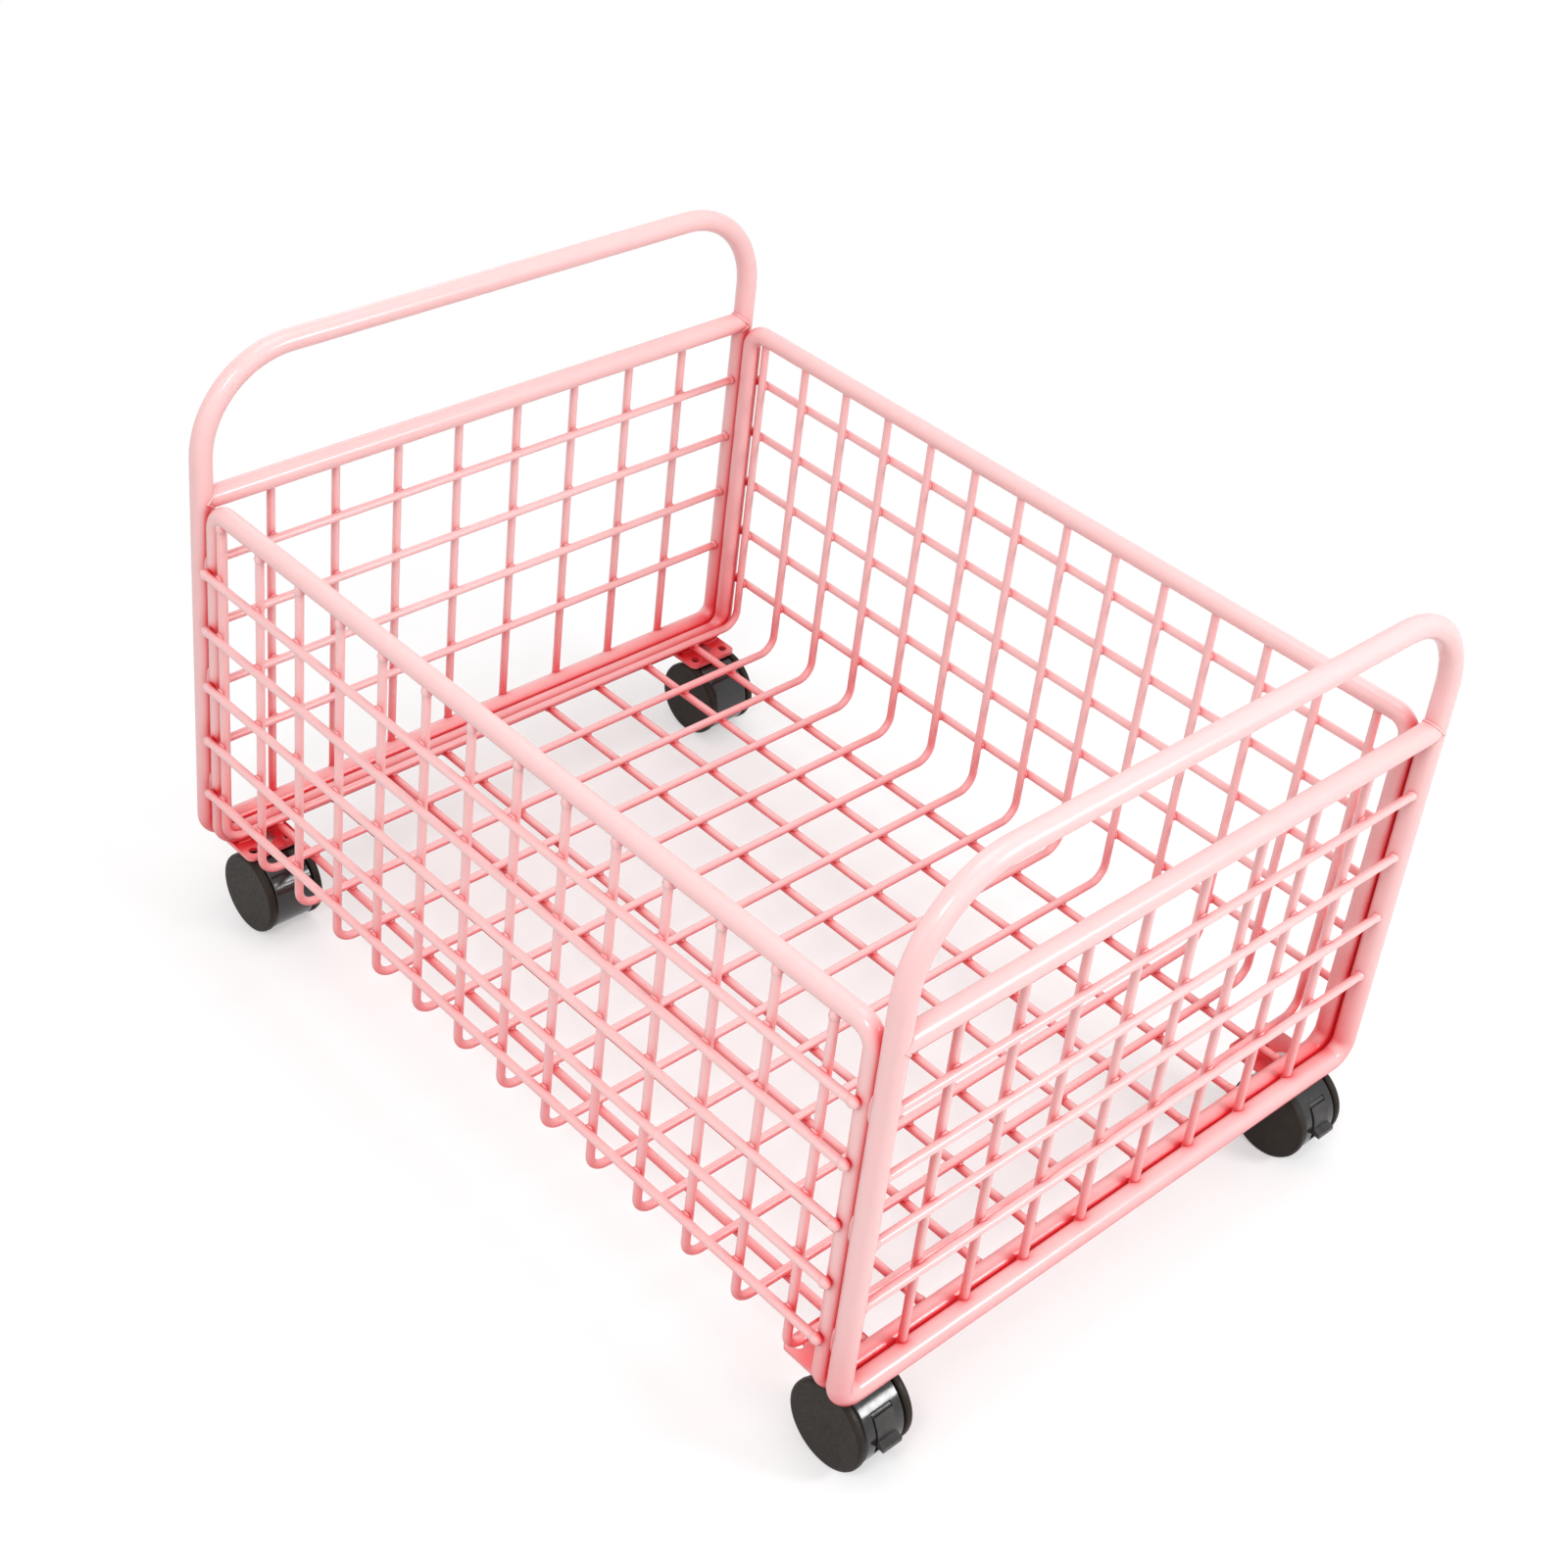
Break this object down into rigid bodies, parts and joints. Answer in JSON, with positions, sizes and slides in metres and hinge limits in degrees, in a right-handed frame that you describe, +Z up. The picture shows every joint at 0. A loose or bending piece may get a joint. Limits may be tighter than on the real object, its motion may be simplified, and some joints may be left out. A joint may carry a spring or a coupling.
{
  "type": "utility cart",
  "caption": "Low wire basket cart of welded rods between bent tube end hoops that form handles, rolling on hooded twin-wheel swivel casters.",
  "frame": {"origin": "on the floor under the middle of the whole outline", "axes": "+X along the basket towards the end with the braked casters, +Y across it, +Z up"},
  "size_m": [0.3954, 0.294, 0.2632],
  "materials": {
    "paint": "satin powder coat",
    "hood": "glossy",
    "lever": "semi-gloss",
    "wheel": "matte",
    "steel": "plated"
  },
  "bodies": {
    "cart": {"basket_ring": "paint", "cross_wire_01": "paint", "cross_wire_02": "paint", "cross_wire_03": "paint", "cross_wire_04": "paint", "cross_wire_05": "paint", "cross_wire_06": "paint", "cross_wire_07": "paint", "cross_wire_08": "paint", "cross_wire_09": "paint", "cross_wire_10": "paint", "cross_wire_11": "paint", "cross_wire_12": "paint", "cross_wire_13": "paint", "cross_wire_14": "paint", "far_crossbar": "paint", "far_hoop": "paint", "far_left_plate": "paint", "far_right_plate": "paint", "far_row_wires": "paint", "far_upright_wires": "paint", "floor_wires": "paint", "kingpins": "steel", "left_wall_wires": "paint", "near_crossbar": "paint", "near_hoop": "paint", "near_left_plate": "paint", "near_right_plate": "paint", "near_row_wires": "paint", "near_upright_wires": "paint", "right_wall_wires": "paint"},
    "far_left_caster": {"far_left_hood": "hood", "far_left_axle": "steel"},
    "far_left_left_roller": {"far_left_wheel_left": "wheel"},
    "far_left_right_roller": {"far_left_wheel_right": "wheel"},
    "far_right_caster": {"far_right_hood": "hood", "far_right_axle": "steel"},
    "far_right_left_roller": {"far_right_wheel_left": "wheel"},
    "far_right_right_roller": {"far_right_wheel_right": "wheel"},
    "near_left_caster": {"near_left_hood": "hood", "near_left_axle": "steel", "near_left_lever_pin": "steel"},
    "near_left_left_roller": {"near_left_wheel_left": "wheel"},
    "near_left_right_roller": {"near_left_wheel_right": "wheel"},
    "near_left_brake": {"near_left_lever": "lever"},
    "near_right_caster": {"near_right_hood": "hood", "near_right_axle": "steel", "near_right_lever_pin": "steel"},
    "near_right_left_roller": {"near_right_wheel_left": "wheel"},
    "near_right_right_roller": {"near_right_wheel_right": "wheel"},
    "near_right_brake": {"near_right_lever": "lever"}
  },
  "joints": [
    {"name": "far_left_swivel", "type": "hinge", "parent": "cart", "child": "far_left_caster", "pos_m": [-0.1792, -0.1225, 0.0352], "axis": [0, 0, 1], "continuous": true},
    {"name": "far_left_wheel_left_spin", "type": "hinge", "parent": "far_left_caster", "child": "far_left_left_roller", "pos_m": [-0.1727, -0.1225, 0.0175], "axis": [0, 1, 0], "continuous": true},
    {"name": "far_left_wheel_right_spin", "type": "hinge", "parent": "far_left_caster", "child": "far_left_right_roller", "pos_m": [-0.1727, -0.1225, 0.0175], "axis": [0, 1, 0], "continuous": true},
    {"name": "far_right_swivel", "type": "hinge", "parent": "cart", "child": "far_right_caster", "pos_m": [-0.1792, 0.1225, 0.0352], "axis": [0, 0, 1], "continuous": true},
    {"name": "far_right_wheel_left_spin", "type": "hinge", "parent": "far_right_caster", "child": "far_right_left_roller", "pos_m": [-0.1727, 0.1225, 0.0175], "axis": [0, 1, 0], "continuous": true},
    {"name": "far_right_wheel_right_spin", "type": "hinge", "parent": "far_right_caster", "child": "far_right_right_roller", "pos_m": [-0.1727, 0.1225, 0.0175], "axis": [0, 1, 0], "continuous": true},
    {"name": "near_left_swivel", "type": "hinge", "parent": "cart", "child": "near_left_caster", "pos_m": [0.1708, -0.1225, 0.0352], "axis": [0, 0, 1], "continuous": true},
    {"name": "near_left_wheel_left_spin", "type": "hinge", "parent": "near_left_caster", "child": "near_left_left_roller", "pos_m": [0.1773, -0.1225, 0.0175], "axis": [0, 1, 0], "continuous": true},
    {"name": "near_left_wheel_right_spin", "type": "hinge", "parent": "near_left_caster", "child": "near_left_right_roller", "pos_m": [0.1773, -0.1225, 0.0175], "axis": [0, 1, 0], "continuous": true},
    {"name": "near_left_brake_press", "type": "hinge", "parent": "near_left_caster", "child": "near_left_brake", "pos_m": [0.1885, -0.1225, 0.0271], "axis": [0, 1, 0], "range_deg": [0, 14]},
    {"name": "near_right_swivel", "type": "hinge", "parent": "cart", "child": "near_right_caster", "pos_m": [0.1708, 0.1225, 0.0352], "axis": [0, 0, 1], "continuous": true},
    {"name": "near_right_wheel_left_spin", "type": "hinge", "parent": "near_right_caster", "child": "near_right_left_roller", "pos_m": [0.1773, 0.1225, 0.0175], "axis": [0, 1, 0], "continuous": true},
    {"name": "near_right_wheel_right_spin", "type": "hinge", "parent": "near_right_caster", "child": "near_right_right_roller", "pos_m": [0.1773, 0.1225, 0.0175], "axis": [0, 1, 0], "continuous": true},
    {"name": "near_right_brake_press", "type": "hinge", "parent": "near_right_caster", "child": "near_right_brake", "pos_m": [0.1885, 0.1225, 0.0271], "axis": [0, 1, 0], "range_deg": [0, 14]}
  ]
}
